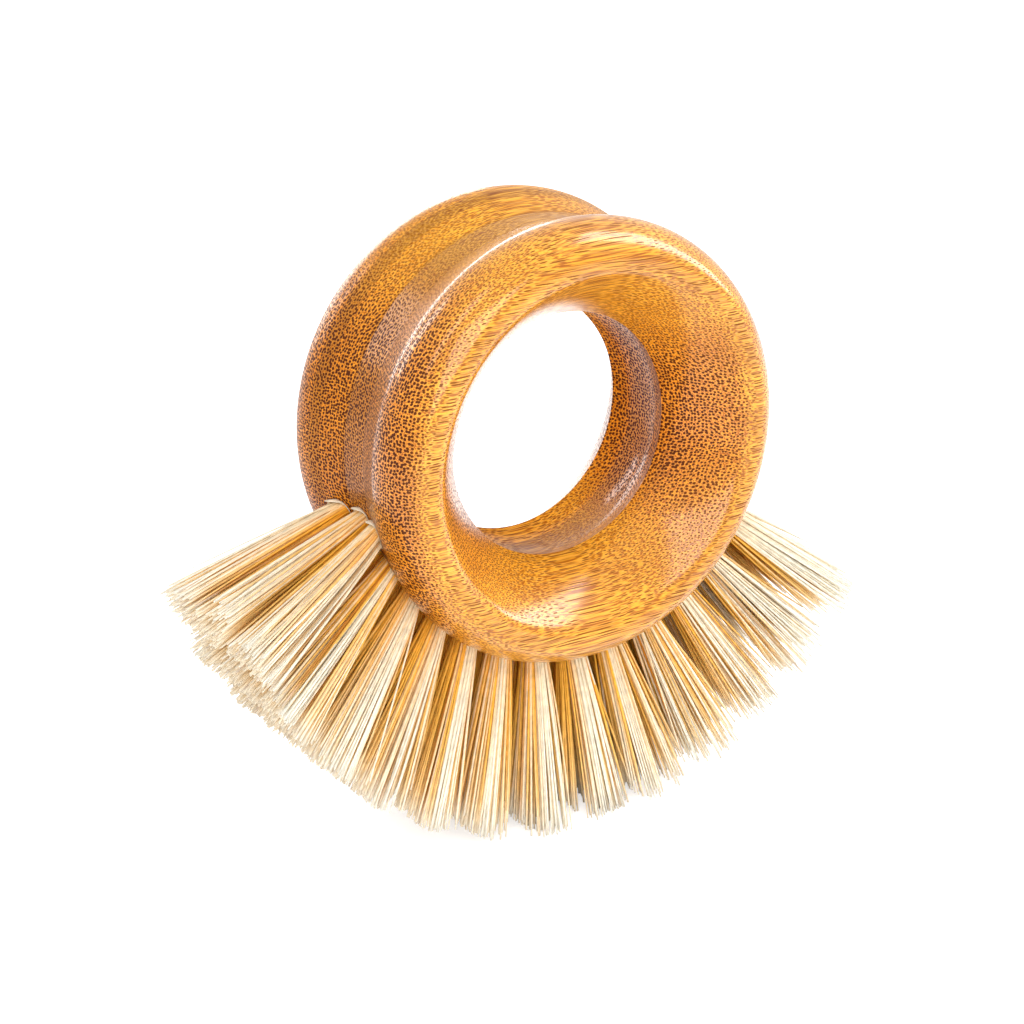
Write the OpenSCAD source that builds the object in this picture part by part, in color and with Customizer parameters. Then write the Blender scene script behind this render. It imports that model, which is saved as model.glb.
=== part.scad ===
// Ring-handled vegetable brush: a turned bamboo ring with three rows of plant-fibre
// tufts set into drilled holes along the lower part of its outer groove.
// The ring's axis runs along Y, the front face looks towards -Y, and Z is up.
// The origin is on the table, below the middle of the brush.

/* [Ring handle] */
// Outer diameter over the two round beads
ring_d = 68; // [66:1:76]
// Width of the ring from front face to rear face
ring_w = 35.6; // [34:0.4:38]
// Radius of the beads' outer shoulders
bead_r = 8; // [7.5:0.25:8.5]
// Radius of the rounded rim between a shoulder and the mouth of the finger hole
rim_round = 3.5; // [3:0.1:4.2]
// Where a shoulder passes into the rim, in degrees from its outermost line
shoulder_turn = 48; // [42:1:54]
// Depth of the groove's floor below the tops of the beads
groove_depth = 2.3; // [1.6:0.1:2.6]

/* [Finger hole] */
// Diameter of the finger hole at its two throat edges
throat_d = 37.6; // [34:0.4:38.4]
// Distance between the two throat edges, along the axis
throat_gap = 12.8; // [10:0.4:14]
// Depth of the hollow cove between the throat edges
cove_depth = 1.9; // [1:0.1:2.2]
// Radius of the gentle rounding of the funnel-shaped mouth, from the rim to the throat edge
mouth_r = 45; // [36:1:80]

/* [Drilled holes] */
// Diameter of each tuft hole
hole_d = 4.2; // [3.6:0.1:4.2]
// Depth of each tuft hole below the groove's floor
hole_depth = 6.8; // [6:0.1:7]
// Distance from one row of holes to the next
row_pitch = 5.4; // [5:0.1:5.8]

/* [Tufts] */
// Number of tufts in one row
tuft_count = 13; // [9:1:13]
// Angle between neighbouring tufts of a row, in degrees
tuft_step = 11; // [10.8:0.1:11.6]
// Angle of each row's first tuft below the horizontal, on the left, in degrees
first_tuft = 17; // [10:1:30]
// How far the tufts lean towards straight down, as a share of their angle from it
lean_in = 0.06; // [0:0.01:0.08]
// Radius of the circle that the bristle tips are trimmed to
tip_r = 60.6; // [56:0.2:64]
// How far the centre of the trimmed circle lies below the ring's axis
trim_drop = 2; // [0:0.2:4]
// How far the centre of the trimmed circle lies to the right of the ring's axis
trim_shift = 1.4; // [0:0.2:3]
// Height that the standing brush loses where its lowest tips spread on the table
tip_flat = 1.2; // [0.8:0.1:1.6]
// Thickness of one tuft at its tips, along the ring's axis
tip_depth = 9.6; // [7:0.2:10.4]
// How far the outer rows' tips lean away from the middle row
row_splay = 5.5; // [4.6:0.1:6]
// Longest unevenness of the trimmed tips
ragged = 1.2; // [0:0.2:1.4]
// Depth of the flutes between the strands of a tuft, as a share of its radius
flute = 0.15; // [0:0.01:0.2]

/* [Staples] */
// Width of a flat staple, across its hole
staple_w = 3.6; // [3:0.1:3.6]
// Height of a staple above the floor of its hole
staple_h = 2.2; // [1.6:0.1:2.6]
// Thickness of the staple's strip
staple_t = 0.5; // [0.4:0.05:0.8]

/* [Clearances] */
// Gap between a tuft's shank and the wall of its hole
shank_gap = 0.15; // [0.1:0.05:0.3]
// Gap between neighbouring tufts where their tips come closest
tuft_gap = 2.4; // [0.4:0.2:3.6]
// Gap between a staple and the fibres folded over it
staple_gap = 0.15; // [0.1:0.05:0.3]

/* [Hidden] */
ring_r = ring_d / 2;
throat_r = throat_d / 2;
shoulder_n = [cos(shoulder_turn), sin(shoulder_turn)];

// A shoulder's radius is limited by its room beside the rows: the groove's side, which
// runs tangent into it, stands no steeper than this angle
side_limit = 40;
side_n = [cos(side_limit), sin(side_limit)];
side_room = ring_w / 2 - rim_round * (1 - shoulder_n[1]) - row_pitch / 2;
shoulder_r = min(bead_r, (side_room * side_n[1] - groove_depth * side_n[0])
    / (1 - side_n[0] + shoulder_n[1] * side_n[1]));
rim_c = [ring_r - shoulder_r + (shoulder_r - rim_round) * shoulder_n[0], ring_w / 2 - rim_round];
bead_c = rim_c - (shoulder_r - rim_round) * shoulder_n;
axis_h = tip_r + trim_drop - tip_flat;

// The groove has a level floor, one row wide, and two sloping sides that each carry
// a row and run tangent into the beads
floor_r = ring_r - groove_depth;
floor_edge = [floor_r, row_pitch / 2];
to_bead = bead_c - floor_edge;
side_slope = atan2(to_bead[0], to_bead[1]) + asin(shoulder_r / norm(to_bead));

// Cove inside the finger hole: an arc through both throat edges
cove_half = throat_gap / 2;
cove_r = (cove_half * cove_half + cove_depth * cove_depth) / (2 * cove_depth);
cove_a = asin(cove_half / cove_r);

// The mouth's arc runs tangent from the rim to the throat edge. The triangle of its centre,
// the rim's centre and the throat edge gives the turn from the edge to the arc's centre
throat_edge = [throat_r, cove_half];
to_edge = throat_edge - rim_c;
mouth_gap = mouth_r - rim_round;
mouth_turn = acos((pow(mouth_gap, 2) + pow(norm(to_edge), 2) - pow(mouth_r, 2))
    / (2 * mouth_gap * norm(to_edge)));
mouth_a = atan2(to_edge[1], to_edge[0]) + 360 + mouth_turn;
mouth_c = rim_c + mouth_gap * [cos(mouth_a), sin(mouth_a)];
edge_a = atan2(throat_edge[1] - mouth_c[1], throat_edge[0] - mouth_c[0]);

hole_floor = floor_r - hole_depth;
shank_r = hole_d / 2 - shank_gap;
// Radius at which the outer rows' holes have left the wood all round their rims
rim_r = floor_r + (row_pitch / 2 + hole_d / 2) * tan(side_slope) + 0.4;

rows = ["rear", "middle", "front"];
row_y = [row_pitch, 0, -row_pitch];
row_lean = [row_splay, 0, -row_splay];
strand_points = 24;

function two(n) = str(n < 10 ? "0" : "", n);
function tuft_name(r, k) = str("tuft_", rows[r], "_", two(k + 1));
function tuft_angle(k) = -180 + first_tuft + k * tuft_step;

// Angle at which a tuft's tips stand, where it has leant from its hole towards straight down
function tip_angle(k) = tuft_angle(k) - lean_in * (tuft_angle(k) + 90);

// How far the trimmed circle's centre lies from the ring's axis along the direction of an
// angle, and to the side of it
function trim_along(a) = trim_shift * cos(a) - trim_drop * sin(a);
function trim_aside(a) = -trim_shift * sin(a) - trim_drop * cos(a);

// Distance from the ring's axis to the trimmed circle, z to the side of an angle's direction
function trim_at(a, z) = sqrt(pow(tip_r, 2) - pow(z - trim_aside(a), 2)) + trim_along(a);

// How far the middle of a tuft's tips stands to the side of its hole
function tip_side(k) = trim_at(tip_angle(k), 0) * sin(tip_angle(k) - tuft_angle(k));

// Half the width of a tuft at its tips, which leaves the gap to its neighbours
function tip_half_w(k) =
    let (a = tip_angle(k), side = tuft_step * (1 - lean_in) / 2)
        min(trim_at(a - side, 0), trim_at(a + side, 0)) * sin(side) - tuft_gap / 2;

// Distance from the ring's axis at which a strand ends, z to the side of its tuft's hole:
// on the trimmed circle, less its own unevenness, or where it meets the table
function tip_x(a, z, cut) =
    min(trim_at(a, z) - cut, (axis_h + z * cos(a)) / max(0.01, -sin(a)));

// How far a tuft's tip at one of its sides stands out to the right of the ring's axis
function reach(k, side) =
    let (a = tuft_angle(k), z = tip_side(k) + side * tip_half_w(k))
        tip_x(a, z, 0) * cos(a) - z * sin(a);

// The ring's axis stands where the brush reaches equally far to the left and right
axis_x = -(reach(0, -1) + reach(tuft_count - 1, 1)) / 2;

// Points of an arc in the half plane of the ring's section, x outwards and y along the axis
function arc(c, r, a0, a1, n) =
    [for (i = [0:n]) c + r * [cos(a0 + (a1 - a0) * i / n), sin(a0 + (a1 - a0) * i / n)]];

// An arc without its first point, where the one before it ends
function rest(points) = [for (i = [1:len(points) - 1]) points[i]];

// Half of the section: from the edge of the groove's floor, over a bead, through the mouth
// and into the middle of the cove
function half_section() = concat(
    [floor_edge],
    arc(bead_c, shoulder_r, -side_slope, shoulder_turn, 8),
    rest(arc(rim_c, rim_round, shoulder_turn, mouth_a - 180, 8)),
    rest(arc(mouth_c, mouth_r, mouth_a - 180, edge_a, 6)),
    rest(arc([throat_r + cove_depth - cove_r, 0], cove_r, cove_a, 0, 4)));

function mirrored(points) =
    [for (i = [len(points) - 2:-1:0]) [points[i][0], -points[i][1]]];

// Puts a part at its angle on the ring, with x pointing out from the ring's axis
module at_angle(a) {
    translate([axis_x, 0, axis_h])
        rotate([0, -a, 0])
            children();
}

module along_rows() {
    for (r = [0:2], k = [0:tuft_count - 1])
        at_angle(tuft_angle(k))
            translate([0, row_y[r], 0])
                children();
}

// Turned ring with the blind holes drilled into its groove
module handle_ring() {
    color([0.80, 0.54, 0.24])
        difference() {
            translate([axis_x, 0, axis_h])
                rotate([90, 0, 0])
                    rotate_extrude($fn = 96)
                        polygon(concat(half_section(), mirrored(half_section())));
            along_rows()
                translate([hole_floor, 0, 0])
                    rotate([0, 90, 0])
                        cylinder(d = hole_d, h = ring_r - hole_floor + 1, $fn = 32);
        }
}

// Flat strips, one in each hole, that hold the folded fibres down
module staples() {
    color([0.72, 0.72, 0.70])
        along_rows()
            translate([hole_floor, -staple_w / 2, -staple_t / 2])
                cube([staple_h, staple_w, staple_t]);
}

// Unevenness of the trimmed end of each strand, with some strands left at full length
function strand_cut(r, k) =
    let (v = rands(0, 1, strand_points, 100 * r + k + 7))
        [for (i = [0:strand_points - 1]) i % 6 == 0 ? 0 : ragged * v[i] * (i % 2 == 0 ? 0.5 : 1)];

// One section of a tuft: a round that widens into a rounded rectangle, with flutes of a depth
function strand(i, half_y, half_z, square, depth) =
    let (t = 360 * i / strand_points, c = cos(t), s = sin(t),
         n = 2 + square,
         k = pow(pow(abs(c), n) + pow(abs(s), n), -1 / n) * (i % 2 == 0 ? 1 : 1 - depth))
        [half_y * c * k, half_z * s * k];

function tuft_section(middle, half_y, half_z, square, depth) =
    [for (i = [0:strand_points - 1])
        let (p = strand(i, half_y, half_z, square, depth))
            middle + [0, p[0], p[1]]];

function tuft_end(r, k) =
    let (cut = strand_cut(r, k))
        [for (i = [0:strand_points - 1])
            let (p = strand(i, tip_depth / 2, tip_half_w(k), 2.4, flute), z = tip_side(k) + p[1])
                [tip_x(tuft_angle(k), z, cut[i]), row_lean[r] + p[0], z]];

// A bundle of fibres: a round shank folded over its staple in the hole, then a fluted fan
// out to the trimmed tips
module tuft(r, k) {
    n = strand_points;
    swell = 0.46;
    root = [rim_r, 0, 0];
    tip = [tip_x(tuft_angle(k), tip_side(k), ragged / 4), row_lean[r], tip_side(k)];
    levels = [
        tuft_section([hole_floor + staple_gap, 0, 0], shank_r, shank_r, 0, 0),
        tuft_section(root, shank_r, shank_r, 0, 0),
        tuft_section(root + (tip - root) * swell,
            shank_r + (tip_depth / 2 - shank_r) * swell,
            shank_r + (tip_half_w(k) - shank_r) * swell, 0.8, flute),
        tuft_end(r, k)];
    top = len(levels) - 1;
    points = concat(levels[0], levels[1], levels[2], levels[3], [tip]);
    faces = concat(
        [[for (i = [0:n - 1]) i]],
        [for (j = [0:top - 1], i = [0:n - 1])
            [j * n + i, (j + 1) * n + i, (j + 1) * n + (i + 1) % n]],
        [for (j = [0:top - 1], i = [0:n - 1])
            [j * n + i, (j + 1) * n + (i + 1) % n, j * n + (i + 1) % n]],
        [for (i = [0:n - 1]) [top * n + i, (top + 1) * n, top * n + (i + 1) % n]]);
    color([0.96, 0.89, 0.72])
        at_angle(tuft_angle(k))
            translate([0, row_y[r], 0])
                difference() {
                    polyhedron(points, faces, convexity = 6);
                    translate([hole_floor - 1, -hole_d, -staple_t / 2 - staple_gap])
                        cube([staple_h + staple_gap + 1, 2 * hole_d, staple_t + 2 * staple_gap]);
                }
}

handle_ring();
staples();
for (r = [0:2], k = [0:tuft_count - 1])
    tuft(r, k);
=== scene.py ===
"""Ring-handled vegetable brush: a turned bamboo ring with three rows of plant-fibre tufts."""

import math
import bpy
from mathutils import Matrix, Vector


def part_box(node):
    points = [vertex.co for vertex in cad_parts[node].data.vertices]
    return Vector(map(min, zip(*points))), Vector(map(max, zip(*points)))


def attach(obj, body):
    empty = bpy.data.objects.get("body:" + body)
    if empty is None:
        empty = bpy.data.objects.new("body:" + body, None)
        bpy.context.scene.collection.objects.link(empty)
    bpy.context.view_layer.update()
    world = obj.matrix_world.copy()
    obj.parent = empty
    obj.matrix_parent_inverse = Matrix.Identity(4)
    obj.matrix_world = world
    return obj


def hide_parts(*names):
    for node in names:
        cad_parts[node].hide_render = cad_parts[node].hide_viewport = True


bl_info = {
    "name": "Ring-handled Vegetable Brush",
    "version": (1, 0, 0),
    "blender": (4, 5, 0),
    "location": "3D View > Sidebar > Brush",
    "description": "Dresses a ring-handled vegetable brush with varnished bamboo and bristles",
    "category": "Add Mesh",
}

import bpy
import numpy as np
from bpy.props import (
    FloatProperty,
    FloatVectorProperty,
    IntProperty,
    PointerProperty,
)
from mathutils import Matrix, Vector

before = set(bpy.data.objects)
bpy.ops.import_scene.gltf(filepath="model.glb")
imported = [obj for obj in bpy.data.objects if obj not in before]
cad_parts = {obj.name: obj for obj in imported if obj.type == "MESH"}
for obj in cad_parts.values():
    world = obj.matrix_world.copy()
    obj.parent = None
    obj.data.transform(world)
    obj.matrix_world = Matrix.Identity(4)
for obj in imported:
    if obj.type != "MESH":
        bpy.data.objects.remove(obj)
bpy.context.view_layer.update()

MM = 0.001
RING_LO, RING_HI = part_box("handle_ring")
RING_R = (RING_HI.x - RING_LO.x) / 2
RING_W = RING_HI.y - RING_LO.y
AXIS_X = (RING_HI.x + RING_LO.x) / 2
AXIS_H = (RING_HI.z + RING_LO.z) / 2
ROWS = ("rear", "middle", "front")
ROW_SIDE = {"rear": 1.0, "middle": 0.0, "front": -1.0}
SEED = 41
# Points along each stretch of the ring's half section, and lines round the ring: close
# together under the tufts and wide apart over the rest
SECTION_POINTS = {"floor": 11, "side": 24, "bead": 18, "rim": 14, "mouth": 18, "cove": 9}
CLOSE_LINES, WIDE_LINES = 330, 150
# Sides of a fibre, levels along it, and clumps that a tuft's fibres gather in
FIBRE_SIDES, FIBRE_LEVELS, CLUMPS = 5, 8, 7
# Turn from one seed to the next in a sunflower, and the end of the range of random phases
GOLDEN_ANGLE, PHASE_END = 2.39996, 6.3
# Length of a fibre bundle of the bamboo along X, and the step between bundles along Y and Z
BUNDLE_PITCH = (0.016, 0.00048, 0.00050)
# Strips of the glued bamboo: where each starts, in millimetres behind the ring's middle
# plane, and its tone
STRIPS = ((-17.8, 1.12), (-8.0, 1.0), (-3.1, 0.74), (3.0, 1.05), (7.4, 0.70), (9.6, 1.10))
# The camera looks at a point this far from the ring's middle
LOOK_ASIDE = Vector((-4.36, 0, -13.56)) * MM
SENSOR_WIDTH = 36.0
# Half the floor's width, and how far it lies below the table's level
FLOOR_HALF, FLOOR_DROP = 2.0, 0.05 * MM
# Strength of the floor's own glow and of the world's light on the object
FLOOR_GLOW, AMBIENT = 0.58, 0.45
LAMP_DISTANCE = 0.60
# Direction from the ring, direction of the long side, length and width in metres, and
# brightness of each lamp
LAMPS = {
    "lamp_key": ((0.79, -0.17, 0.59), (0.62, -0.30, -0.78), (0.68, 0.21), 7.8),
    "lamp_top_left": ((-0.62, -0.13, 0.77), (0.77, 0.0, 0.62), (0.44, 0.08), 4.5),
    "lamp_rear_left": ((-0.42, 0.80, 0.42), (0.19, -0.13, 0.39), (0.30, 0.12), 6.5),
    "lamp_rear": ((0.12, 0.98, 0.14), (1.0, -0.12, 0.0), (0.50, 0.20), 4.4),
    "lamp_front": ((-0.36, -0.80, 0.48), (1.0, -0.3, 0.0), (0.46, 0.46), 3.9),
}


# Sizes and colours


class BrushRingSizes(bpy.types.PropertyGroup):
    bead_r: FloatProperty(
        name="Bead radius",
        description="Radius of the beads' outer shoulders",
        default=8.0 * MM,
        unit="LENGTH",
    )
    rim_round: FloatProperty(
        name="Rim rounding",
        description="Radius of the rim between a shoulder and the mouth of the finger hole",
        default=3.5 * MM,
        unit="LENGTH",
    )
    shoulder_turn: FloatProperty(
        name="Shoulder turn",
        description="Where a shoulder passes into the rim, from its outermost line",
        default=math.radians(48),
        subtype="ANGLE",
    )
    groove_depth: FloatProperty(
        name="Groove depth",
        description="Depth of the groove's floor below the tops of the beads",
        default=2.3 * MM,
        unit="LENGTH",
    )
    throat_d: FloatProperty(
        name="Throat diameter",
        description="Diameter of the finger hole at its two throat edges",
        default=37.6 * MM,
        unit="LENGTH",
    )
    throat_gap: FloatProperty(
        name="Throat gap",
        description="Distance between the two throat edges, along the axis",
        default=12.8 * MM,
        unit="LENGTH",
    )
    cove_depth: FloatProperty(
        name="Cove depth",
        description="Depth of the hollow cove between the throat edges",
        default=1.9 * MM,
        unit="LENGTH",
    )
    mouth_r: FloatProperty(
        name="Mouth radius",
        description="Radius of the gentle rounding of the funnel-shaped mouth",
        default=45.0 * MM,
        unit="LENGTH",
    )
    hole_d: FloatProperty(
        name="Tuft hole diameter",
        description="Diameter of each tuft hole",
        default=4.2 * MM,
        unit="LENGTH",
    )
    row_pitch: FloatProperty(
        name="Row pitch",
        description="Distance from one row of holes to the next",
        default=5.4 * MM,
        unit="LENGTH",
    )
    grain_tilt: FloatProperty(
        name="Grain tilt",
        description="Turn of the bamboo's fibres out of the level, about the ring's axis",
        default=0.0,
        subtype="ANGLE",
    )
    wood_light: FloatVectorProperty(
        name="Light bamboo",
        description="Colour of the soft bamboo between the fibre bundles",
        subtype="COLOR",
        size=3,
        default=(0.78, 0.305, 0.016),
    )
    wood_deep: FloatVectorProperty(
        name="Deep bamboo",
        description="Colour of the darker, caramel strips of bamboo",
        subtype="COLOR",
        size=3,
        default=(0.55, 0.178, 0.006),
    )
    bundle_colour: FloatVectorProperty(
        name="Fibre bundles",
        description="Colour of the dark fibre bundles that show as dots and streaks",
        subtype="COLOR",
        size=3,
        default=(0.085, 0.017, 0.001),
    )
    streak_colour: FloatVectorProperty(
        name="Fibre streaks",
        description="Colour of the fibre bundles where they are cut lengthwise",
        subtype="COLOR",
        size=3,
        default=(0.26, 0.078, 0.004),
    )


class BrushTuftSizes(bpy.types.PropertyGroup):
    tuft_count: IntProperty(
        name="Tufts in a row",
        description="Number of tufts in one row",
        default=13,
        min=1,
    )
    tuft_step: FloatProperty(
        name="Tuft step",
        description="Angle between neighbouring tufts of a row",
        default=math.radians(11),
        subtype="ANGLE",
    )
    first_tuft: FloatProperty(
        name="First tuft",
        description="Angle of each row's first tuft below the horizontal, on the left",
        default=math.radians(17),
        subtype="ANGLE",
    )
    lean_in: FloatProperty(
        name="Lean in",
        description="How far the tufts lean towards straight down, as a share of their angle from it",
        default=0.06,
    )
    tip_r: FloatProperty(
        name="Tip radius",
        description="Radius of the circle that the bristle tips are trimmed to",
        default=60.6 * MM,
        unit="LENGTH",
    )
    trim_drop: FloatProperty(
        name="Trim drop",
        description="How far the centre of the trimmed circle lies below the ring's axis",
        default=2.0 * MM,
        unit="LENGTH",
    )
    trim_shift: FloatProperty(
        name="Trim shift",
        description="How far the centre of the trimmed circle lies to the right of the ring's axis",
        default=1.4 * MM,
        unit="LENGTH",
    )
    tip_depth: FloatProperty(
        name="Tip depth",
        description="Thickness of one tuft at its tips, along the ring's axis",
        default=9.6 * MM,
        unit="LENGTH",
    )
    row_splay: FloatProperty(
        name="Row splay",
        description="How far the outer rows' tips lean away from the middle row",
        default=5.5 * MM,
        unit="LENGTH",
    )
    tuft_gap: FloatProperty(
        name="Tuft gap",
        description="Gap between neighbouring tufts where their tips come closest",
        default=2.4 * MM,
        unit="LENGTH",
    )
    ragged: FloatProperty(
        name="Ragged ends",
        description="Longest unevenness of the trimmed tips",
        default=1.2 * MM,
        unit="LENGTH",
    )
    spread: FloatProperty(
        name="Spread",
        description="Share of its width that a tuft's orderly fibres fill at the tips",
        default=1.04,
        min=0.3,
        max=1.2,
    )
    fibres: IntProperty(
        name="Fibres in a tuft",
        description="Number of separate fibres in each tuft",
        default=135,
        min=10,
    )
    fibre_d: FloatProperty(
        name="Fibre diameter",
        description="Diameter of a fibre where it leaves the wood",
        default=0.44 * MM,
        unit="LENGTH",
    )
    # Cream is the fibres' own colour, kept where they face out of the brush and are lit
    cream: FloatVectorProperty(
        name="Cream fibre",
        description="Colour of the bleached outer fibres",
        subtype="COLOR",
        size=3,
        default=(1.0, 0.95, 0.80),
    )
    # Painted shade: this gold stands for shade and warm light bounced between tufts on fibres that
    # face other tufts, and for a real gold tone in some clumps
    golden_and_shade: FloatVectorProperty(
        name="Golden fibre",
        description="Colour of the fibres inside a tuft",
        subtype="COLOR",
        size=3,
        default=(1.0, 0.56, 0.07),
    )


class BrushStageSizes(bpy.types.PropertyGroup):
    view_turn: FloatProperty(
        name="View turn",
        description="How far the camera stands round to the left of the front",
        default=math.radians(33.3),
        subtype="ANGLE",
    )
    view_rise: FloatProperty(
        name="View rise",
        description="Elevation of the camera above the horizon",
        default=math.radians(21.29),
        subtype="ANGLE",
    )
    view_distance: FloatProperty(
        name="View distance",
        description="Distance from the camera to the point it looks at",
        default=352.35 * MM,
        unit="LENGTH",
    )
    lens: FloatProperty(
        name="Lens",
        description="Focal length in millimetres on a sensor 36 mm wide",
        default=81.35,
    )
    floor_colour: FloatVectorProperty(
        name="Floor colour",
        description="Colour of the plain pale floor",
        subtype="COLOR",
        size=3,
        default=(0.90, 0.90, 0.90),
    )
    lamp_strength: FloatProperty(
        name="Lamp strength",
        description="Share of their full strength at which all the lamps shine",
        default=1.0,
    )


# Meshes


def link_piece(name, mesh, body="root"):
    """Puts a mesh into the scene as a piece that rides on a body."""
    piece = bpy.data.objects.new(name, mesh)
    bpy.context.scene.collection.objects.link(piece)
    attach(piece, body)
    return piece


def fill_mesh(name, points, *face_arrays):
    """A smooth mesh of points (n, 3) and of face arrays, each (faces, corners) of indices."""
    mesh = bpy.data.meshes.new(name)
    mesh.vertices.add(len(points))
    mesh.vertices.foreach_set("co", np.ascontiguousarray(points, np.float32).ravel())
    corners = np.concatenate([faces.ravel() for faces in face_arrays])
    sizes = np.concatenate([np.full(len(faces), faces.shape[1]) for faces in face_arrays])
    mesh.loops.add(len(corners))
    mesh.loops.foreach_set("vertex_index", corners.astype(np.int32))
    mesh.polygons.add(len(sizes))
    mesh.polygons.foreach_set("loop_start", (np.cumsum(sizes) - sizes).astype(np.int32))
    mesh.polygons.foreach_set("use_smooth", np.ones(len(sizes), bool))
    mesh.update(calc_edges=True)
    return mesh


def ring_faces(count, around):
    """Quads of a closed grid of count by around points that wraps both ways."""
    i, j = np.meshgrid(np.arange(count), np.arange(around), indexing="ij")
    i2, j2 = (i + 1) % count, (j + 1) % around
    corners = [i * around + j, i * around + j2, i2 * around + j2, i2 * around + j]
    return np.stack(corners, -1).reshape(-1, 4)


def colour_points(mesh, name, colours):
    """Keeps one colour for each point as a mesh attribute."""
    rgba = np.ones((len(colours), 4), np.float32)
    rgba[:, :3] = colours
    attribute = mesh.color_attributes.new(name, "FLOAT_COLOR", "POINT")
    attribute.data.foreach_set("color", rgba.ravel())


# The ring's section and the places of its holes


def arc(centre, radius, start, end, count):
    """Points of an arc: centre plus radius times (cos, sin), from start to end in radians."""
    angles = np.linspace(start, end, count)
    return np.asarray(centre) + radius * np.stack([np.cos(angles), np.sin(angles)], -1)


def straight(start, end, count, corner=0.1 * MM):
    """Points of a straight line, with one more close to each end to keep the corner crisp."""
    start, end = np.asarray(start), np.asarray(end)
    near = corner / np.linalg.norm(end - start)
    share = np.concatenate([[0, near], np.linspace(0, 1, count)[1:-1], [1 - near, 1]])
    return start + share[:, None] * (end - start)


def side_slope(ring):
    """Angle of the groove's sides, from the tangent of its floor's edge to the bead's circle."""
    to_bead = bead_centre(ring) - np.array([RING_R - ring.groove_depth, ring.row_pitch / 2])
    return math.atan2(to_bead[0], to_bead[1]) + math.asin(ring.bead_r / np.linalg.norm(to_bead))


def rim_centre(ring):
    """Centre of the rim's arc in the section: (radius, place along the axis)."""
    inward = ring.bead_r - (ring.bead_r - ring.rim_round) * math.cos(ring.shoulder_turn)
    return np.array([RING_R - inward, RING_W / 2 - ring.rim_round])


def bead_centre(ring):
    """Centre of a bead's arc, which runs tangent into the rim's arc at the shoulder turn."""
    turn = np.array([math.cos(ring.shoulder_turn), math.sin(ring.shoulder_turn)])
    return rim_centre(ring) - (ring.bead_r - ring.rim_round) * turn


def half_section(ring):
    """Half of the ring's section, from the middle of the groove to the middle of the cove.

    A level floor, a sloping side, the bead's arc, the rim's arc and the mouth's arc follow each
    other. The side, the bead, the rim and the mouth run tangent into each other, and the cove is
    an arc through the throat edge. One more point on each side of that edge keeps it crisp.
    """
    count = SECTION_POINTS
    floor_r = RING_R - ring.groove_depth
    floor_edge = (floor_r, ring.row_pitch / 2)
    slope = side_slope(ring)
    bead, rim = bead_centre(ring), rim_centre(ring)
    throat = np.array([ring.throat_d / 2, ring.throat_gap / 2])
    to_edge = throat - rim
    reach = np.linalg.norm(to_edge)
    gap = ring.mouth_r - ring.rim_round
    turn = math.acos((gap**2 + reach**2 - ring.mouth_r**2) / (2 * gap * reach))
    mouth_turn = math.atan2(to_edge[1], to_edge[0]) + 2 * math.pi + turn
    mouth = rim + gap * np.array([math.cos(mouth_turn), math.sin(mouth_turn)])
    edge_turn = math.atan2(throat[1] - mouth[1], throat[0] - mouth[0])
    half_gap = ring.throat_gap / 2
    cove_r = (half_gap**2 + ring.cove_depth**2) / (2 * ring.cove_depth)
    cove_turn = math.asin(half_gap / cove_r)
    cove = (ring.throat_d / 2 + ring.cove_depth - cove_r, 0)
    bead_start = arc(bead, ring.bead_r, -slope, -slope, 1)[0]
    cove_arc = arc(cove, cove_r, cove_turn, 0, count["cove"])
    mouth_arc = arc(mouth, ring.mouth_r, mouth_turn - math.pi, edge_turn, count["mouth"])
    before_edge, after_edge = 0.9, 0.12
    return np.concatenate([
        straight((floor_r, 0), floor_edge, count["floor"])[:-1],
        straight(floor_edge, bead_start, count["side"])[:-2],
        arc(bead, ring.bead_r, -slope, ring.shoulder_turn, count["bead"])[:-1],
        arc(rim, ring.rim_round, ring.shoulder_turn, mouth_turn - math.pi, count["rim"])[:-1],
        mouth_arc[:-1],
        mouth_arc[-2:-1] + before_edge * (mouth_arc[-1:] - mouth_arc[-2:-1]),
        cove_arc[:1],
        cove_arc[:1] + after_edge * (cove_arc[1:2] - cove_arc[:1]),
        cove_arc[1:],
    ])


def whole_section(ring):
    """The closed section: one half and its mirror image about the ring's middle plane."""
    half = half_section(ring)
    mirrored = half[-2:0:-1] * np.array([1, -1])
    return np.concatenate([half, mirrored])


def tuft_angles(tufts):
    """Angles of a row's tufts about the ring's axis, from +X towards +Z."""
    return -math.pi + tufts.first_tuft + np.arange(tufts.tuft_count) * tufts.tuft_step


def turned(points, angle):
    """Points given as (out, along the axis, to the side) of a tuft, put at its angle on the ring."""
    c, s = math.cos(angle), math.sin(angle)
    out, along, side = points[..., 0], points[..., 1], points[..., 2]
    return np.stack([AXIS_X + out * c - side * s, along, AXIS_H + out * s + side * c], -1)


def groove_height(ring, along, side):
    """Distance out to the groove's surface over a point at (along the axis, to the side)."""
    rise = np.maximum(np.abs(along) - ring.row_pitch / 2, 0) * math.tan(side_slope(ring))
    radius = RING_R - ring.groove_depth + rise
    return np.sqrt(np.maximum(radius**2 - side**2, 0))


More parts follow.
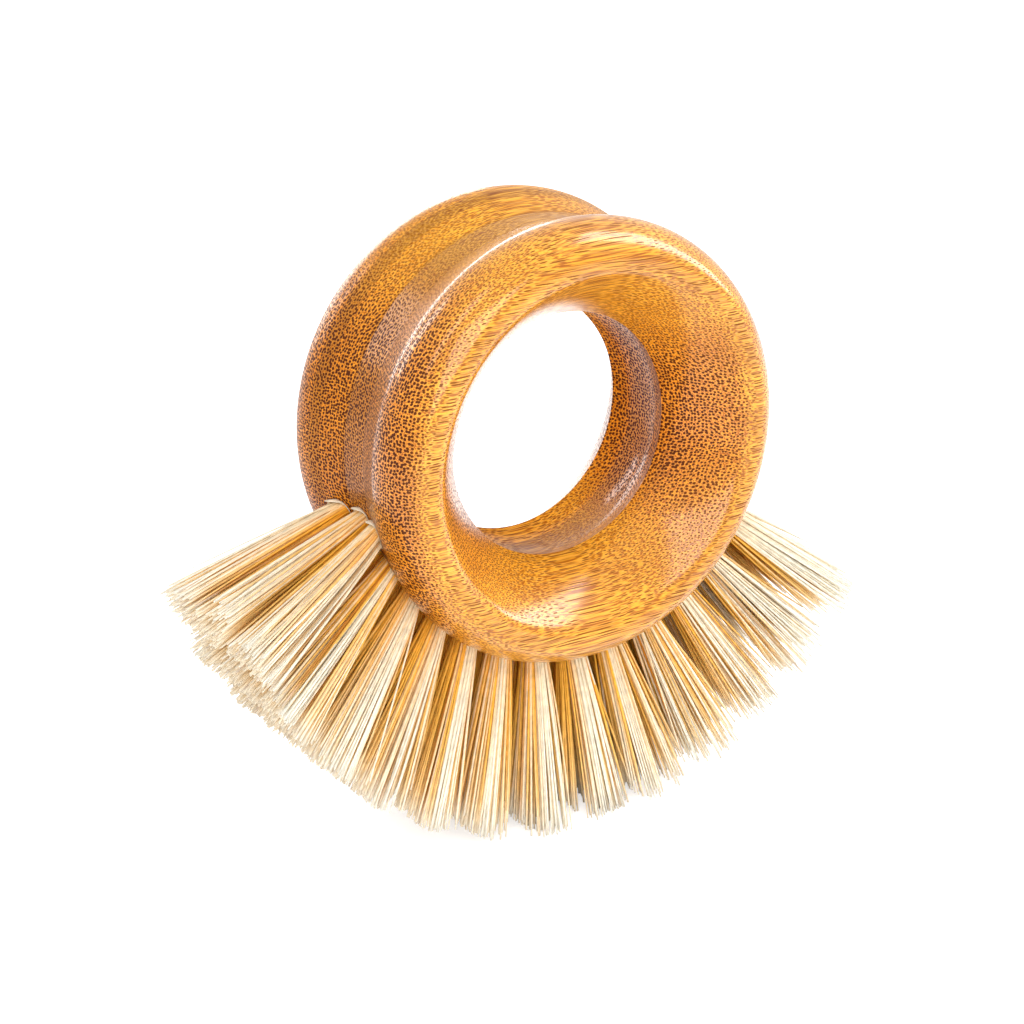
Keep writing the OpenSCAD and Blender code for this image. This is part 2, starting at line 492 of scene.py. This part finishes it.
def sink_holes(points, ring, tufts):
    """Sinks the tuft holes into the ring's points.

    A point within a hole's radius goes straight down to the hole's floor, and one that lies
    close to the rim is moved onto it, so that the rim is a clean circle.
    """
    depth, snap = 4.2 * MM, 0.16 * MM
    hole_r = ring.hole_d / 2
    for angle in tuft_angles(tufts):
        c, s = math.cos(angle), math.sin(angle)
        x, z = points[:, 0] - AXIS_X, points[:, 2] - AXIS_H
        out, side = x * c + z * s, -x * s + z * c
        for row in ROWS:
            along = points[:, 1] - ROW_SIDE[row] * ring.row_pitch
            off = np.hypot(along, side)
            near = (out > RING_R - ring.bead_r) & (off < hole_r + snap)
            rim = near & (off > hole_r - snap)
            scale = hole_r / off[rim]
            along[rim] *= scale
            side[rim] *= scale
            out[near & ~rim] -= depth
            points[near, 1] = along[near] + ROW_SIDE[row] * ring.row_pitch
        points[:, 0] = AXIS_X + out * c - side * s
        points[:, 2] = AXIS_H + out * s + side * c
    return points


# Node materials


def new_material(name):
    """A material with one Principled shader, and its node tree."""
    material = bpy.data.materials.new(name)
    material.use_nodes = True
    tree = material.node_tree
    return material, tree, tree.nodes["Principled BSDF"]


def add_node(tree, kind, inputs=None, **settings):
    """Adds a node, with its settings, its plain input values and its linked inputs."""
    node = tree.nodes.new(kind)
    for key, value in settings.items():
        setattr(node, key, value)
    for key, value in (inputs or {}).items():
        if isinstance(value, bpy.types.NodeSocket):
            tree.links.new(value, node.inputs[key])
        else:
            node.inputs[key].default_value = value
    return node


def math_node(tree, operation, *values):
    """One sum on values or sockets."""
    return add_node(
        tree, "ShaderNodeMath", dict(enumerate(values)), operation=operation
    ).outputs[0]


def vector_node(tree, operation, *values):
    """One sum on vectors or vector sockets, with its outputs."""
    return add_node(
        tree, "ShaderNodeVectorMath", dict(enumerate(values)), operation=operation
    ).outputs


def stretched(tree, place, lengths):
    """Object coordinates divided by a length along each axis, in metres."""
    return vector_node(tree, "MULTIPLY", place, [1 / length for length in lengths])[0]


def noise(tree, place, lengths, detail, output="Fac"):
    """Noise with grains of about a length along each axis, in metres."""
    return add_node(
        tree,
        "ShaderNodeTexNoise",
        {"Vector": stretched(tree, place, lengths), "Scale": 1.0, "Detail": detail},
    ).outputs[output]


def ramp(tree, value, low, high, to_low=0.0, to_high=1.0):
    """Smooth step of a value from low to high."""
    return add_node(
        tree,
        "ShaderNodeMapRange",
        {"Value": value, "From Min": low, "From Max": high, "To Min": to_low, "To Max": to_high},
        interpolation_type="SMOOTHSTEP",
    ).outputs["Result"]


def mixed(tree, factor, first, second, blend="MIX"):
    """Mix of two colours, given as sockets or as RGB."""
    node = add_node(tree, "ShaderNodeMix", data_type="RGBA", blend_type=blend)
    for key, value in ((0, factor), (6, first), (7, second)):
        if isinstance(value, bpy.types.NodeSocket):
            tree.links.new(value, node.inputs[key])
        elif key == 0:
            node.inputs[key].default_value = value
        else:
            node.inputs[key].default_value = (*value, 1.0)
    return node.outputs[2]


def fibre_bundles(tree, grain, end_grain):
    """Dark fibre bundles, and the warm tone round each, both from 0 to 1.

    Bundles stand in the cells of a pattern across the grain and sway a little along it. A point
    belongs to one where its distance from the cell's middle is less than a reach, which is 0.12
    of the step between bundles, and more in patches and on end grain.
    """
    patch = noise(tree, grain, (0.030, 0.0045, 0.0045), 2.0)
    sway = noise(tree, grain, (0.016, 0.006, 0.006), 1.0, "Color")
    swayed = vector_node(tree, "MULTIPLY_ADD", sway, (0.0, 0.0016, 0.0016), grain)[0]
    across = add_node(tree, "ShaderNodeSeparateXYZ", {0: stretched(tree, swayed, BUNDLE_PITCH)})
    section = add_node(
        tree, "ShaderNodeCombineXYZ", {0: across.outputs["Y"], 1: across.outputs["Z"]}
    ).outputs[0]
    cells = add_node(
        tree,
        "ShaderNodeTexVoronoi",
        {"Vector": section, "Scale": 1.0, "Randomness": 0.62},
        voronoi_dimensions="2D",
    )
    least_reach, patch_reach, end_reach = 0.12, 0.16, 0.21
    soft_edge, halo_width = 0.05, 0.32
    swell = math_node(tree, "MULTIPLY", end_grain, end_reach)
    edge = math_node(tree, "MULTIPLY_ADD", patch, patch_reach, swell)
    reach = math_node(tree, "ADD", edge, least_reach)
    depth = math_node(tree, "SUBTRACT", reach, cells.outputs["Distance"])
    bundle = ramp(tree, depth, -soft_edge, soft_edge)
    return bundle, ramp(tree, depth, -halo_width, -soft_edge)


def varnish_weight(tree, place, along, bundle):
    """How much varnish shows: most in front and in the finger hole, and little on the bundles."""
    from_axis = vector_node(tree, "SUBTRACT", place, (AXIS_X, 0.0, AXIS_H))[0]
    upright = vector_node(tree, "MULTIPLY", from_axis, (1.0, 0.0, 1.0))[0]
    radius = vector_node(tree, "LENGTH", upright)["Value"]
    hole_end, groove_floor, thin, on_bundle = (0.023, 0.026), (-0.0034, -0.0022), 0.30, 0.22
    inside = ramp(tree, radius, *hole_end, 1.0, 0.0)
    front = ramp(tree, along, *groove_floor, 1.0, thin)
    varnish = math_node(tree, "MAXIMUM", front, inside)
    closed = ramp(tree, bundle, 0.0, 1.0, 1.0, on_bundle)
    return math_node(tree, "MULTIPLY", varnish, closed)


def varnished_bamboo(ring):
    """Carbonised bamboo, glued up from strips and varnished.

    Fibre bundles are long cells along the grain, so they show as dots on end grain and as
    streaks on long grain. Strips lie side by side along the ring's axis and differ in tone.
    """
    material, tree, shader = new_material("varnished_bamboo")
    coordinates = add_node(tree, "ShaderNodeTexCoord").outputs
    place = coordinates["Object"]
    along = add_node(tree, "ShaderNodeSeparateXYZ", {0: place}).outputs["Y"]
    facing = add_node(tree, "ShaderNodeSeparateXYZ", {0: coordinates["Normal"]}).outputs["X"]
    end_grain = ramp(tree, math_node(tree, "ABSOLUTE", facing), 0.40, 0.90)
    grain = add_node(
        tree,
        "ShaderNodeMapping",
        {"Vector": place, "Rotation": (0, ring.grain_tilt, 0), "Location": (0.013, 0.007, 0.003)},
    ).outputs["Vector"]
    bundle, halo = fibre_bundles(tree, grain, end_grain)

    tone = noise(tree, grain, (0.045, 0.0065, 0.0065), 3.0)
    deepness = math_node(tree, "MULTIPLY", ramp(tree, tone, 0.34, 0.70), 0.75)
    base = mixed(tree, deepness, ring.wood_light, ring.wood_deep)
    strips = add_node(tree, "ShaderNodeValToRGB", {"Fac": ramp_place(tree, along)})
    fill_strips(strips.color_ramp)
    base = mixed(tree, 1.0, base, strips.outputs["Color"], "MULTIPLY")
    hairs = noise(tree, grain, (0.0090, 0.00022, 0.00022), 1.0)
    hair_tone = add_node(tree, "ShaderNodeValToRGB", {"Fac": hairs})
    dull, bright = hair_tone.color_ramp.elements
    dull.position, dull.color = 0.41, (0.52, 0.39, 0.26, 1)
    bright.position, bright.color = 0.60, (1.20, 1.42, 2.10, 1)
    base = mixed(tree, 1.0, base, hair_tone.outputs["Color"], "MULTIPLY")
    around = mixed(tree, math_node(tree, "MULTIPLY", halo, 0.40), base, (0.92, 0.47, 0.08))
    end_tone = math_node(tree, "MULTIPLY", end_grain, 0.85)
    around = mixed(tree, end_tone, around, (1.0, 0.72, 0.36), "MULTIPLY")
    dark = mixed(tree, end_grain, ring.streak_colour, ring.bundle_colour)
    tree.links.new(mixed(tree, bundle, around, dark), shader.inputs["Base Color"])

    height = math_node(tree, "SUBTRACT", math_node(tree, "MULTIPLY", hairs, 0.5), bundle)
    bump = add_node(
        tree, "ShaderNodeBump", {"Height": height, "Distance": 0.00004, "Strength": 0.55}
    ).outputs["Normal"]
    tree.links.new(bump, shader.inputs["Normal"])
    rough = ramp(tree, bundle, 0.0, 1.0, 0.34, 0.50)
    tree.links.new(rough, shader.inputs["Roughness"])
    shader.inputs["Specular IOR Level"].default_value = 0.10
    varnish = varnish_weight(tree, place, along, bundle)
    tree.links.new(varnish, shader.inputs["Coat Weight"])
    shader.inputs["Coat Roughness"].default_value = 0.17
    shader.inputs["Coat IOR"].default_value = 1.46
    return material


def ramp_place(tree, along):
    """Place along the ring's axis as a share of its width, 0 at the front and 1 at the rear."""
    return math_node(tree, "MULTIPLY_ADD", along, 1 / RING_W, 0.5)


def fill_strips(colour_ramp):
    """Tones of the glued strips from front to rear, with a thin dark glue line between two."""
    half_line, line_tone, line_warmth = 0.10, 0.66, 0.92
    half = RING_W / MM / 2
    stops = []
    for index, (start, tone) in enumerate(STRIPS):
        end = STRIPS[index + 1][0] if index + 1 < len(STRIPS) else half
        stops += [(start + half_line, tone, 1.0), (end - half_line, tone, 1.0)]
        if end < half:
            stops.append((end, tone * line_tone, line_warmth))
    elements = colour_ramp.elements
    while len(elements) < len(stops):
        elements.new(0.5)
    for element, (place, tone, warmth) in zip(elements, stops):
        element.position = min(max(0.5 + place / (2 * half), 0), 1)
        element.color = (tone, tone * warmth, tone * warmth**2, 1)


def plant_fibre(name):
    """Stiff plant fibre: each fibre's colour from its point colours, with painted shade on the tufts,
    and fine streaks along it.
    """
    material, tree, shader = new_material(name)
    # Point colours: painted shade on the tufts, and the real colour of the torn lips
    own = add_node(tree, "ShaderNodeAttribute", attribute_name="fibre_colour_and_shade")
    place = add_node(tree, "ShaderNodeTexCoord").outputs["Object"]
    fleck = noise(tree, place, (0.0016, 0.0004, 0.0016), 2.0)
    shade = ramp(tree, fleck, 0.30, 0.70, 0.86, 1.08)
    streak = add_node(tree, "ShaderNodeCombineXYZ", {0: shade, 1: shade, 2: shade}).outputs[0]
    colour = mixed(tree, 1.0, own.outputs["Color"], streak, "MULTIPLY")
    tree.links.new(colour, shader.inputs["Base Color"])
    shader.inputs["Roughness"].default_value = 0.45
    shader.inputs["Specular IOR Level"].default_value = 0.15
    return material


def plain_steel():
    """Flat steel strip with faint drawing lines across it."""
    material, tree, shader = new_material("plain_steel")
    place = add_node(tree, "ShaderNodeTexCoord").outputs["Object"]
    lines = noise(tree, place, (0.0004, 0.006, 0.0004), 2.0)
    colour = mixed(tree, lines, (0.50, 0.50, 0.49), (0.72, 0.72, 0.70))
    tree.links.new(colour, shader.inputs["Base Color"])
    shader.inputs["Metallic"].default_value = 1.0
    shader.inputs["Roughness"].default_value = 0.36
    return material


# Ring handle


def lathe_angles(tufts):
    """Angles round the ring, close together under the tufts and wider apart over the rest."""
    margin = math.radians(5)
    start = -math.pi + tufts.first_tuft - tufts.tuft_step / 2 - margin
    end = start + tufts.tuft_count * tufts.tuft_step + 2 * margin
    close = np.linspace(start, end, CLOSE_LINES, endpoint=False)
    wide = np.linspace(end, start + 2 * math.pi, WIDE_LINES, endpoint=False)
    return np.concatenate([close, wide])


class BRUSH_OT_handle_ring(bpy.types.Operator):
    """Turned bamboo ring with a groove, two beads, a finger hole and the tuft holes"""

    bl_idname = "brush.handle_ring"
    bl_label = "Ring Handle"

    def execute(self, context):
        ring, tufts = context.scene.brush_ring, context.scene.brush_tufts
        section = whole_section(ring)
        angles = lathe_angles(tufts)
        radius, along = section[:, 0], section[:, 1]
        grid = np.stack([
            AXIS_X + np.cos(angles)[:, None] * radius,
            np.broadcast_to(along, (len(angles), len(along))),
            AXIS_H + np.sin(angles)[:, None] * radius,
        ], -1)
        points = sink_holes(grid.reshape(-1, 3), ring, tufts)
        mesh = fill_mesh("turned_ring", points, ring_faces(len(angles), len(along)))
        mesh.materials.append(varnished_bamboo(ring))
        piece = link_piece("turned_ring", mesh)
        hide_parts("handle_ring")
        return {"FINISHED"}


# Rims of the tuft holes


def torn_lip(ring, row, raised, narrow, turn, cross, rng):
    """Points of the lip round one hole, as (out, along the axis, to the side) of the tuft.

    A small loop goes round the hole. Its height is the raised height times a share that grows
    towards the row's first tuft, the more sharply the higher narrow is, and times 1 plus 0.30
    of a sum of cosines with random strengths and phases. It leans outward as it rises.
    """
    waves = sum(
        rng.normal() / order * np.cos(order * turn + rng.uniform(0, PHASE_END))
        for order in (1, 2, 3, 5, 8)
    )
    upper = (0.5 - 0.5 * np.sin(turn)) ** narrow
    height = raised * (0.12 + 0.88 * upper) * np.clip(1 + 0.30 * waves, 0.4, 1.5)
    lean = 0.12 * MM + 0.35 * height
    overlap, thickness = 0.06 * MM, 0.07 * MM
    swing = 0.5 + 0.5 * np.sin(cross)
    reach = ring.hole_d / 2 - overlap + swing * lean[:, None] + thickness * np.cos(cross)
    side = reach * np.sin(turn)[:, None]
    axial = ROW_SIDE[row] * ring.row_pitch + reach * np.cos(turn)[:, None]
    out = groove_height(ring, axial, side) + (swing * 1.2 - 0.2) * height[:, None]
    return np.stack([out, axial, side], -1)


class BRUSH_OT_hole_rims(bpy.types.Operator):
    """Ragged lips of torn bamboo and bent fibre round the tuft holes"""

    bl_idname = "brush.hole_rims"
    bl_label = "Hole Rims"

    def execute(self, context):
        ring, tufts = context.scene.brush_ring, context.scene.brush_tufts
        around, loop = 40, 6
        # Height, narrowness and colour of the flap at a row's first hole and of the other lips
        flap, lip = (1.4 * MM, 22, (0.95, 0.84, 0.64)), (0.24 * MM, 2, (0.50, 0.24, 0.07))
        rng = np.random.default_rng(SEED)
        turn = np.linspace(0, 2 * math.pi, around, endpoint=False)
        cross = np.linspace(0, 2 * math.pi, loop, endpoint=False)
        points, colours, faces = [], [], []
        for row in ROWS:
            for index, angle in enumerate(tuft_angles(tufts)):
                raised, narrow, tone = flap if index == 0 else lip
                first = len(points) * around * loop
                shape = torn_lip(ring, row, raised, narrow, turn, cross, rng)
                points.append(turned(shape, angle).reshape(-1, 3))
                colours.append(np.array(tone) * rng.uniform(0.75, 1.1, (around * loop, 1)))
                faces.append(ring_faces(around, loop) + first)
        mesh = fill_mesh("hole_rims", np.concatenate(points), np.concatenate(faces))
        colour_points(mesh, "fibre_colour_and_shade", np.concatenate(colours))
        mesh.materials.append(plant_fibre("torn_rim"))
        link_piece("hole_rims", mesh)
        return {"FINISHED"}


# Tufts


def tip_angle(tufts, angle):
    """Angle at which a tuft's tips stand, leant from its hole towards straight down."""
    return angle - tufts.lean_in * (angle + math.pi / 2)


def trim_at(tufts, angle, side=0.0):
    """Distance from the ring's axis to the trimmed circle, some way aside of an angle."""
    c, s = math.cos(angle), math.sin(angle)
    along = tufts.trim_shift * c - tufts.trim_drop * s
    aside = -tufts.trim_shift * s - tufts.trim_drop * c
    return np.sqrt(tufts.tip_r**2 - (side - aside) ** 2) + along


def tip_side(tufts, angle):
    """How far the middle of a tuft's tips stands to the side of its hole."""
    tips = tip_angle(tufts, angle)
    return trim_at(tufts, tips) * math.sin(tips - angle)


def tip_half_width(tufts, angle):
    """Half the width of a tuft at its tips, which leaves the gap to its neighbours."""
    half_step = tufts.tuft_step * (1 - tufts.lean_in) / 2
    tips = tip_angle(tufts, angle)
    least = min(trim_at(tufts, tips - half_step), trim_at(tufts, tips + half_step))
    return least * math.sin(half_step) - tufts.tuft_gap / 2


def tip_out(tufts, angle, side, cut):
    """Where a fibre ends: on the trimmed circle less its own cut, or on the table."""
    above_table, least_slope = 0.12 * MM, 0.01
    table = (AXIS_H + side * math.cos(angle)) / max(least_slope, -math.sin(angle))
    return np.minimum(trim_at(tufts, angle, side) - cut, table - above_table)


def fibre_tubes(paths, radii, sides):
    """Round tubes along paths that run nearly straight out.

    A tube's point is its path's point plus the radius times (0, cos, sin) of an angle, and a
    face closes each end. paths is (fibres, levels, 3) and radii (fibres, levels).
    """
    count, levels = radii.shape
    turn = np.linspace(0, 2 * math.pi, sides, endpoint=False)
    circle = np.stack([np.zeros(sides), np.cos(turn), np.sin(turn)], -1)
    points = paths[:, :, None, :] + radii[:, :, None, None] * circle
    first = np.arange(count)[:, None, None] * levels * sides
    level = np.arange(levels - 1)[None, :, None] * sides
    j = np.arange(sides)[None, None, :]
    j2 = (j + 1) % sides
    low, high = first + level, first + level + sides
    walls = np.stack([low + j, low + j2, high + j2, high + j], -1).reshape(-1, 4)
    starts = np.arange(count)[:, None] * levels * sides
    bottoms = starts + np.arange(sides)[::-1]
    tops = starts + (levels - 1) * sides + np.arange(sides)
    return points, walls, bottoms, tops


def tip_places(tufts, disc, square, clump, rng):
    """Where a tuft's fibres end, as shares of half its width: place in the hole, made squarer.

    Each clump is pulled aside by a random step and each fibre by a smaller one. A few strays go
    further to the side.
    """
    count = len(disc)
    clump_step, fibre_step, stray_step, stray_share = 0.14, 0.04, 0.35, 0.06
    limit, stray_limit = np.array([1.02, 1.15]), np.array([1.02, 1.30])
    pull = rng.normal(0, clump_step, (CLUMPS, 2))
    aside = rng.normal(0, fibre_step, (count, 2))
    place = np.clip(disc * square[:, None] * tufts.spread + pull[clump] + aside, -limit, limit)
    stray = rng.random(count) < stray_share
    place[stray, 1] += rng.normal(0, stray_step, stray.sum())
    return np.clip(place, -stray_limit, stray_limit)


def tuft_colours(tufts, row, index, disc, clump, steps, rng):
    """Colours of a tuft's fibres at each level, (fibres, levels, 3).

    A fibre is cream, its own colour, where it lies outermost on the brush. Where it looks at other
    tufts, and all through the middle row, it turns gold: painted shade and warm light bounced
    between tufts. Random clump and fibre streaks shift that gold either way, a real tone. The
    gold fades towards the tips, painted light. A few are dark. All are browner at the root and
    paler at the tip.
    """
    count = len(disc)
    clump_shade, fibre_shade, dark_share, tip_share = 0.28, 0.24, 0.05, 0.62
    dark_tone, root_loss = np.array([0.60, 0.42, 0.26]), np.array([0.08, 0.24, 0.45])
    tip_colour = np.array([1.0, 0.95, 0.83])
    # Painted shade: fibres on a tuft's side that faces out of the brush stay cream and the rest turn
    # gold as if in shade; the middle row, seen only between the others, is all gold, and the end
    # tufts keep their open sides cream
    lit_outside = ROW_SIDE[row] * disc[:, 0] * (1 - 0.5 * disc[:, 1] ** 2)
    if index == 0:
        lit_outside = np.maximum(lit_outside, -disc[:, 1])
    if index == tufts.tuft_count - 1:
        lit_outside = np.maximum(lit_outside, disc[:, 1])
    streak = rng.normal(0, clump_shade, CLUMPS)[clump] + rng.normal(0, fibre_shade, count)
    golden_and_shade = np.clip(1.12 - 1.05 * np.clip(lit_outside, 0, 1) + streak, 0, 1)
    golden_and_shade = golden_and_shade**2 * (3 - 2 * golden_and_shade)
    # Painted light: the gold fades towards the tips, where more light reaches them
    painted_tip_light = 1 - 0.45 * steps**3
    golden_and_shade = golden_and_shade[:, None] * painted_tip_light
    bright = np.clip(rng.normal(1.0, 0.05, count), 0.80, 1.0)
    cream, gold = np.array(tufts.cream), np.array(tufts.golden_and_shade)
    own = (cream + (gold - cream) * golden_and_shade[..., None]) * bright[:, None, None]
    own[rng.random(count) < dark_share] *= dark_tone
    root_tone = (1 - steps)[None, :, None] ** 2.2
    colours = own * (1 - root_tone * root_loss)
    tip_tone = np.clip((steps - 0.90) / 0.10, 0, 1)[None, :, None]
    return colours + (tip_colour - colours) * tip_share * tip_tone


def tuft_fibres(ring, tufts, row, index, angle, rng):
    """Paths, radii and colours of the fibres of one tuft, as (out, along the axis, to the side).

    The fibres fill the hole in a sunflower pattern, leave it straight, and spread in proportion
    to their place in it until they fill a rounded rectangle at the tips. Each is bowed a little
    and gets thinner towards its tip, which its own random cut leaves short of the trimmed circle.
    """
    count = tufts.fibres
    order = np.arange(count)
    share = np.sqrt((order + 0.5) / count)
    turn = order * GOLDEN_ANGLE + rng.uniform(0, PHASE_END)
    c, s = np.cos(turn), np.sin(turn)
    room_in_hole, rounding = 0.18 * MM, 3.0
    root_r = ring.hole_d / 2 - room_in_hole - tufts.fibre_d / 2
    disc = np.stack([share * c, share * s], -1)
    roots = disc * root_r
    square = (np.abs(c)**rounding + np.abs(s)**rounding) ** (-1 / rounding)
    seeds = rng.uniform(-0.8, 0.8, (CLUMPS, 2))
    clump = np.argmin(((disc[:, None] - seeds[None]) ** 2).sum(-1), 1)
    place = tip_places(tufts, disc, square, clump, rng)
    lean = np.array([ROW_SIDE[row] * tufts.row_splay, tip_side(tufts, angle)])
    tips = lean + place * (tufts.tip_depth / 2, tip_half_width(tufts, angle))

    own_cut, clump_cut, corner_cut = 0.9, 0.5, 1.2 * MM
    random_cut = own_cut * rng.random(count) ** 1.6 + clump_cut * rng.random(CLUMPS)[clump]
    cut = tufts.ragged * random_cut + corner_cut * np.abs(place[:, 1]) ** 4
    end = tip_out(tufts, angle, tips[:, 1], cut)
    root_depth, straight_part = 3.6 * MM, 0.2 * MM
    row_at = ROW_SIDE[row] * ring.row_pitch
    leave = groove_height(ring, np.array([row_at]), np.zeros(1))[0] + straight_part
    steps = np.concatenate([[0], np.linspace(0, 1, FIBRE_LEVELS - 1)])
    out = leave + (end[:, None] - leave) * steps
    out[:, 0] = RING_R - ring.groove_depth - root_depth
    bowing, fan = 0.13 * MM, steps ** 0.96
    bow = rng.normal(0, bowing, (count, 2))
    lateral = roots[:, None] + (tips - roots)[:, None] * fan[:, None]
    lateral = lateral + bow[:, None] * (4 * fan * (1 - fan))[:, None]
    paths = np.stack([out, row_at + lateral[..., 0], lateral[..., 1]], -1)

    taper = 0.30
    thick = tufts.fibre_d / 2 * rng.uniform(0.66, 1.12, count)
    radii = thick[:, None] * (1 - taper * steps**1.5)
    return paths, radii, tuft_colours(tufts, row, index, disc, clump, steps, rng)


class BRUSH_OT_tufts(bpy.types.Operator):
    """Tufts of separate plant fibres, one for each hole, trimmed to a circle and to the table"""

    bl_idname = "brush.tufts"
    bl_label = "Tufts"

    def execute(self, context):
        ring, tufts = context.scene.brush_ring, context.scene.brush_tufts
        rng = np.random.default_rng(SEED + 1)
        material = plant_fibre("plant_fibre")
        for row in ROWS:
            for index, angle in enumerate(tuft_angles(tufts)):
                paths, radii, colours = tuft_fibres(ring, tufts, row, index, angle, rng)
                points, walls, bottoms, tops = fibre_tubes(paths, radii, FIBRE_SIDES)
                name = f"{row}_{index + 1:02d}"
                world = turned(points, angle).reshape(-1, 3)
                mesh = fill_mesh(f"bristles_{name}", world, walls, bottoms, tops)
                each = np.repeat(colours.reshape(-1, 3), FIBRE_SIDES, 0)
                colour_points(mesh, "fibre_colour_and_shade", each)
                mesh.materials.append(material)
                piece = link_piece(f"bristles_{name}", mesh)
                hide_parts(f"tuft_{name}")
        return {"FINISHED"}


# Staples


class BRUSH_OT_staples(bpy.types.Operator):
    """Steel for the flat staples at the bottom of the tuft holes"""

    bl_idname = "brush.staples"
    bl_label = "Staples"

    def execute(self, context):
        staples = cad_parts["staples"]
        staples.data.materials.clear()
        staples.data.materials.append(plain_steel())
        return {"FINISHED"}


# Stage


def ray_share(tree):
    """1 for rays from the camera and those seen in gloss or glass, and 0 for the others."""
    rays = add_node(tree, "ShaderNodeLightPath").outputs
    seen = math_node(tree, "MAXIMUM", rays["Is Camera Ray"], rays["Is Glossy Ray"])
    return math_node(tree, "MAXIMUM", seen, rays["Is Transmission Ray"])


def pale_floor(colour):
    """Matt pale floor that keeps the object's shadow and shows white where it is lit."""
    material = bpy.data.materials.new("pale_floor")
    material.use_nodes = True
    tree = material.node_tree
    tree.nodes.remove(tree.nodes["Principled BSDF"])
    matt = add_node(tree, "ShaderNodeBsdfDiffuse", {"Color": (*colour, 1)})
    strength = math_node(tree, "MULTIPLY", ray_share(tree), FLOOR_GLOW)
    glow = add_node(tree, "ShaderNodeEmission", {"Strength": strength})
    both = add_node(tree, "ShaderNodeAddShader", {0: matt.outputs[0], 1: glow.outputs[0]})
    tree.links.new(both.outputs[0], tree.nodes["Material Output"].inputs["Surface"])
    return material


def white_world(ambient):
    """White behind the object, and an even, weaker light on it."""
    world = bpy.data.worlds.new("white_surround")
    bpy.context.scene.world = world
    world.use_nodes = True
    tree = world.node_tree
    strength = math_node(tree, "MULTIPLY_ADD", ray_share(tree), 1.0 - ambient, ambient)
    background = tree.nodes["Background"]
    background.inputs["Color"].default_value = (1, 1, 1, 1)
    tree.links.new(strength, background.inputs["Strength"])


def add_softbox(name, direction, long_side, size, power, target):
    """An area lamp that stands in a direction from the target, faces it and has a long side."""
    data = bpy.data.lights.new(name, "AREA")
    data.shape = "RECTANGLE"
    data.size, data.size_y = size
    data.energy = power
    lamp = bpy.data.objects.new(name, data)
    bpy.context.scene.collection.objects.link(lamp)
    away = Vector(direction).normalized()
    upward = away.cross(Vector(long_side)).normalized()
    lamp.location = target + away * LAMP_DISTANCE
    lamp.rotation_euler = Matrix((upward.cross(away), upward, away)).transposed().to_euler()
    lamp.visible_camera = False


class BRUSH_OT_stage(bpy.types.Operator):
    """Pale floor, soft studio lamps and the camera at the photograph's angle"""

    bl_idname = "brush.stage"
    bl_label = "Stage"

    def execute(self, context):
        stage = context.scene.brush_stage
        context.scene.view_settings.view_transform = "Standard"
        white_world(AMBIENT)

        corners = np.array([(-1, -1), (1, -1), (1, 1), (-1, 1)]) * FLOOR_HALF
        level = np.column_stack([corners, np.full(4, -FLOOR_DROP)])
        mesh = fill_mesh("floor", level, np.array([[0, 1, 2, 3]]))
        mesh.materials.append(pale_floor(stage.floor_colour))
        floor = bpy.data.objects.new("floor", mesh)
        context.scene.collection.objects.link(floor)

        middle = Vector((AXIS_X, 0, AXIS_H))
        for name, (direction, long_side, size, radiance) in LAMPS.items():
            power = stage.lamp_strength * radiance * math.pi * size[0] * size[1]
            add_softbox(name, direction, long_side, size, power, middle)

        target = middle + LOOK_ASIDE
        turn, rise = stage.view_turn, stage.view_rise
        away = Vector((
            -math.sin(turn) * math.cos(rise),
            -math.cos(turn) * math.cos(rise),
            math.sin(rise),
        ))
        data = bpy.data.cameras.new("camera")
        data.lens = stage.lens
        data.sensor_width = SENSOR_WIDTH
        camera = bpy.data.objects.new("camera", data)
        context.scene.collection.objects.link(camera)
        camera.location = target + away * stage.view_distance
        camera.rotation_euler = away.to_track_quat("Z", "Y").to_euler()
        context.scene.camera = camera
        return {"FINISHED"}


# Panel and registration

PIECES = (
    BRUSH_OT_handle_ring,
    BRUSH_OT_hole_rims,
    BRUSH_OT_tufts,
    BRUSH_OT_staples,
    BRUSH_OT_stage,
)
SIZES = (BrushRingSizes, BrushTuftSizes, BrushStageSizes)


class BRUSH_PT_panel(bpy.types.Panel):
    """Lists the brush's pieces and its stage"""

    bl_idname = "BRUSH_PT_panel"
    bl_label = "Vegetable Brush"
    bl_space_type = "VIEW_3D"
    bl_region_type = "UI"
    bl_category = "Brush"

    def draw(self, context):
        for piece in PIECES:
            self.layout.operator(piece.bl_idname)


def register():
    for kind in (*SIZES, *PIECES, BRUSH_PT_panel):
        bpy.utils.register_class(kind)
    bpy.types.Scene.brush_ring = PointerProperty(type=BrushRingSizes)
    bpy.types.Scene.brush_tufts = PointerProperty(type=BrushTuftSizes)
    bpy.types.Scene.brush_stage = PointerProperty(type=BrushStageSizes)


def unregister():
    del bpy.types.Scene.brush_stage
    del bpy.types.Scene.brush_tufts
    del bpy.types.Scene.brush_ring
    for kind in reversed((*SIZES, *PIECES, BRUSH_PT_panel)):
        bpy.utils.unregister_class(kind)


def main():
    register()
    bpy.ops.brush.handle_ring()
    bpy.ops.brush.hole_rims()
    bpy.ops.brush.tufts()
    bpy.ops.brush.staples()
    bpy.ops.brush.stage()


if __name__ == "__main__":
    main()
